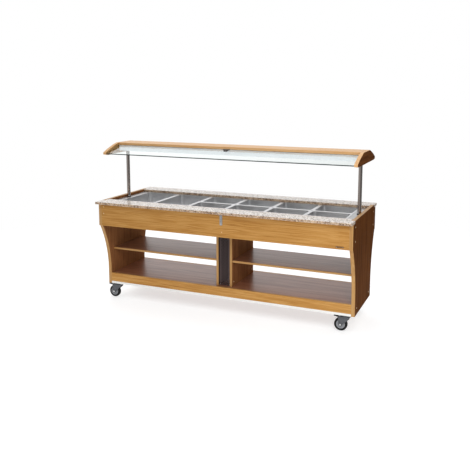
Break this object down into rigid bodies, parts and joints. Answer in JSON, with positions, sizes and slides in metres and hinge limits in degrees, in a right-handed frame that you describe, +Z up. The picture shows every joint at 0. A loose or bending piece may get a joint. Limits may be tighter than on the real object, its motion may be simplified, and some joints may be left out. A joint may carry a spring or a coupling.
{
  "type": "heated buffet cart",
  "caption": "Long wooden heated buffet trolley: stone-edged well of lift-out steel pans, open shelves, lit glass hood on posts, swivel castors.",
  "frame": {"origin": "on the floor below the middle of the cart", "axes": "+X along the cart to the right as seen from the grille side, +Y to the back, +Z up"},
  "size_m": [2.154, 0.88, 1.328],
  "materials": {
    "oak_laminate": "satin laminate with straight grain",
    "walnut_laminate": "satin laminate, dark brown",
    "beech": "satin lacquer",
    "granite": "polished, speckled",
    "stainless": "brushed",
    "pan_steel": "satin",
    "frame_steel": "galvanised",
    "grille_black": "matt black",
    "panel_steel": "brushed",
    "element_steel": "oxidised",
    "black_plastic": "moulded",
    "red_plastic": "translucent red",
    "green_plastic": "translucent green",
    "brass": "nickel-free cast brass",
    "white_metal": "white powder coat",
    "opal_plastic": "opal diffuser",
    "white_plastic": "moulded",
    "lamp_glass": "white coated inside",
    "clear_glass": "polished, green edge",
    "zinc": "bright zinc",
    "castor_black": "black",
    "tyre": "grey hub, black rubber tread"
  },
  "bodies": {
    "carcass": {"front_apron": "oak_laminate", "back_apron": "oak_laminate", "base_skirts": "oak_laminate", "left_side_panel": "walnut_laminate", "right_side_panel": "walnut_laminate", "base_deck": "walnut_laminate", "left_divider": "walnut_laminate", "right_divider": "walnut_laminate", "left_shelf": "walnut_laminate", "right_shelf": "walnut_laminate", "hood_left_end": "beech", "hood_right_end": "beech", "hood_top_board": "beech", "front_slabs": "granite", "back_slabs": "granite", "well_basin": "stainless", "pan_bars": "stainless", "left_post": "stainless", "right_post": "stainless", "slab_joint_brackets": "stainless", "glass_clips": "stainless", "base_frame": "frame_steel", "front_grille": "grille_black", "control_panel": "panel_steel", "heating_elements": "element_steel", "thermostat": "black_plastic", "switch_housings": "black_plastic", "cable_gland": "black_plastic", "drain_cock": "brass", "light_box": "white_metal", "light_diffuser": "opal_plastic", "lamp_holders": "white_plastic", "lamp_tubes": "lamp_glass", "front_glass": "clear_glass", "back_glass": "clear_glass", "castor_plates": "zinc"},
    "full_pan_1": {"full_pan_1": "pan_steel"},
    "full_pan_2": {"full_pan_2": "pan_steel"},
    "half_pan_3_front": {"half_pan_3_front": "pan_steel"},
    "half_pan_3_back": {"half_pan_3_back": "pan_steel"},
    "half_pan_4_front": {"half_pan_4_front": "pan_steel"},
    "half_pan_4_back": {"half_pan_4_back": "pan_steel"},
    "half_pan_5_front": {"half_pan_5_front": "pan_steel"},
    "half_pan_5_back": {"half_pan_5_back": "pan_steel"},
    "half_pan_6_front": {"half_pan_6_front": "pan_steel"},
    "half_pan_6_back": {"half_pan_6_back": "pan_steel"},
    "front_left_fork": {"front_left_fork": "zinc"},
    "front_left_wheel": {"front_left_wheel": "tyre"},
    "front_left_brake_pedal": {"front_left_brake_pedal": "castor_black"},
    "front_right_fork": {"front_right_fork": "zinc"},
    "front_right_wheel": {"front_right_wheel": "tyre"},
    "front_right_brake_pedal": {"front_right_brake_pedal": "castor_black"},
    "back_left_fork": {"back_left_fork": "zinc"},
    "back_left_wheel": {"back_left_wheel": "tyre"},
    "back_right_fork": {"back_right_fork": "zinc"},
    "back_right_wheel": {"back_right_wheel": "tyre"},
    "thermostat_knob": {"thermostat_knob": "black_plastic"},
    "heat_rocker": {"heat_rocker": "red_plastic"},
    "light_rocker": {"light_rocker": "green_plastic"},
    "drain_lever": {"drain_lever": "black_plastic"}
  },
  "joints": [
    {"name": "full_pan_1_lift", "type": "slide", "parent": "carcass", "child": "full_pan_1", "axis": [0, 0, 1], "range_m": [0, 0.15]},
    {"name": "full_pan_2_lift", "type": "slide", "parent": "carcass", "child": "full_pan_2", "axis": [0, 0, 1], "range_m": [0, 0.15]},
    {"name": "half_pan_3_front_lift", "type": "slide", "parent": "carcass", "child": "half_pan_3_front", "axis": [0, 0, 1], "range_m": [0, 0.15]},
    {"name": "half_pan_3_back_lift", "type": "slide", "parent": "carcass", "child": "half_pan_3_back", "axis": [0, 0, 1], "range_m": [0, 0.15]},
    {"name": "half_pan_4_front_lift", "type": "slide", "parent": "carcass", "child": "half_pan_4_front", "axis": [0, 0, 1], "range_m": [0, 0.15]},
    {"name": "half_pan_4_back_lift", "type": "slide", "parent": "carcass", "child": "half_pan_4_back", "axis": [0, 0, 1], "range_m": [0, 0.15]},
    {"name": "half_pan_5_front_lift", "type": "slide", "parent": "carcass", "child": "half_pan_5_front", "axis": [0, 0, 1], "range_m": [0, 0.15]},
    {"name": "half_pan_5_back_lift", "type": "slide", "parent": "carcass", "child": "half_pan_5_back", "axis": [0, 0, 1], "range_m": [0, 0.15]},
    {"name": "half_pan_6_front_lift", "type": "slide", "parent": "carcass", "child": "half_pan_6_front", "axis": [0, 0, 1], "range_m": [0, 0.15]},
    {"name": "half_pan_6_back_lift", "type": "slide", "parent": "carcass", "child": "half_pan_6_back", "axis": [0, 0, 1], "range_m": [0, 0.15]},
    {"name": "front_left_swivel", "type": "hinge", "parent": "carcass", "child": "front_left_fork", "pos_m": [-0.996, -0.236, 0.11], "axis": [0, 0, 1], "continuous": true},
    {"name": "front_left_roll", "type": "hinge", "parent": "front_left_fork", "child": "front_left_wheel", "pos_m": [-1.032, -0.236, 0.05], "axis": [0, 1, 0], "continuous": true},
    {"name": "front_left_brake", "type": "hinge", "parent": "front_left_fork", "child": "front_left_brake_pedal", "pos_m": [-1.038, -0.236, 0.1062], "axis": [0, -1, 0], "range_deg": [0, 7]},
    {"name": "front_right_swivel", "type": "hinge", "parent": "carcass", "child": "front_right_fork", "pos_m": [0.996, -0.236, 0.11], "axis": [0, 0, 1], "continuous": true},
    {"name": "front_right_roll", "type": "hinge", "parent": "front_right_fork", "child": "front_right_wheel", "pos_m": [0.96, -0.236, 0.05], "axis": [0, 1, 0], "continuous": true},
    {"name": "front_right_brake", "type": "hinge", "parent": "front_right_fork", "child": "front_right_brake_pedal", "pos_m": [0.954, -0.236, 0.1062], "axis": [0, -1, 0], "range_deg": [0, 7]},
    {"name": "back_left_swivel", "type": "hinge", "parent": "carcass", "child": "back_left_fork", "pos_m": [-0.996, 0.236, 0.11], "axis": [0, 0, 1], "continuous": true},
    {"name": "back_left_roll", "type": "hinge", "parent": "back_left_fork", "child": "back_left_wheel", "pos_m": [-1.032, 0.236, 0.05], "axis": [0, 1, 0], "continuous": true},
    {"name": "back_right_swivel", "type": "hinge", "parent": "carcass", "child": "back_right_fork", "pos_m": [0.996, 0.236, 0.11], "axis": [0, 0, 1], "continuous": true},
    {"name": "back_right_roll", "type": "hinge", "parent": "back_right_fork", "child": "back_right_wheel", "pos_m": [0.96, 0.236, 0.05], "axis": [0, 1, 0], "continuous": true},
    {"name": "thermostat_turn", "type": "hinge", "parent": "carcass", "child": "thermostat_knob", "pos_m": [0, 0.214, 0.588], "axis": [0, -1, 0], "range_deg": [0, 270]},
    {"name": "heat_rock", "type": "hinge", "parent": "carcass", "child": "heat_rocker", "pos_m": [-0.02, 0.209, 0.518], "axis": [-1, 0, 0], "range_deg": [0, 16]},
    {"name": "light_rock", "type": "hinge", "parent": "carcass", "child": "light_rocker", "pos_m": [0.02, 0.209, 0.518], "axis": [-1, 0, 0], "range_deg": [0, 16]},
    {"name": "drain_turn", "type": "hinge", "parent": "carcass", "child": "drain_lever", "pos_m": [0, 0.214, 0.428], "axis": [0, 1, 0], "range_deg": [0, 90]}
  ]
}
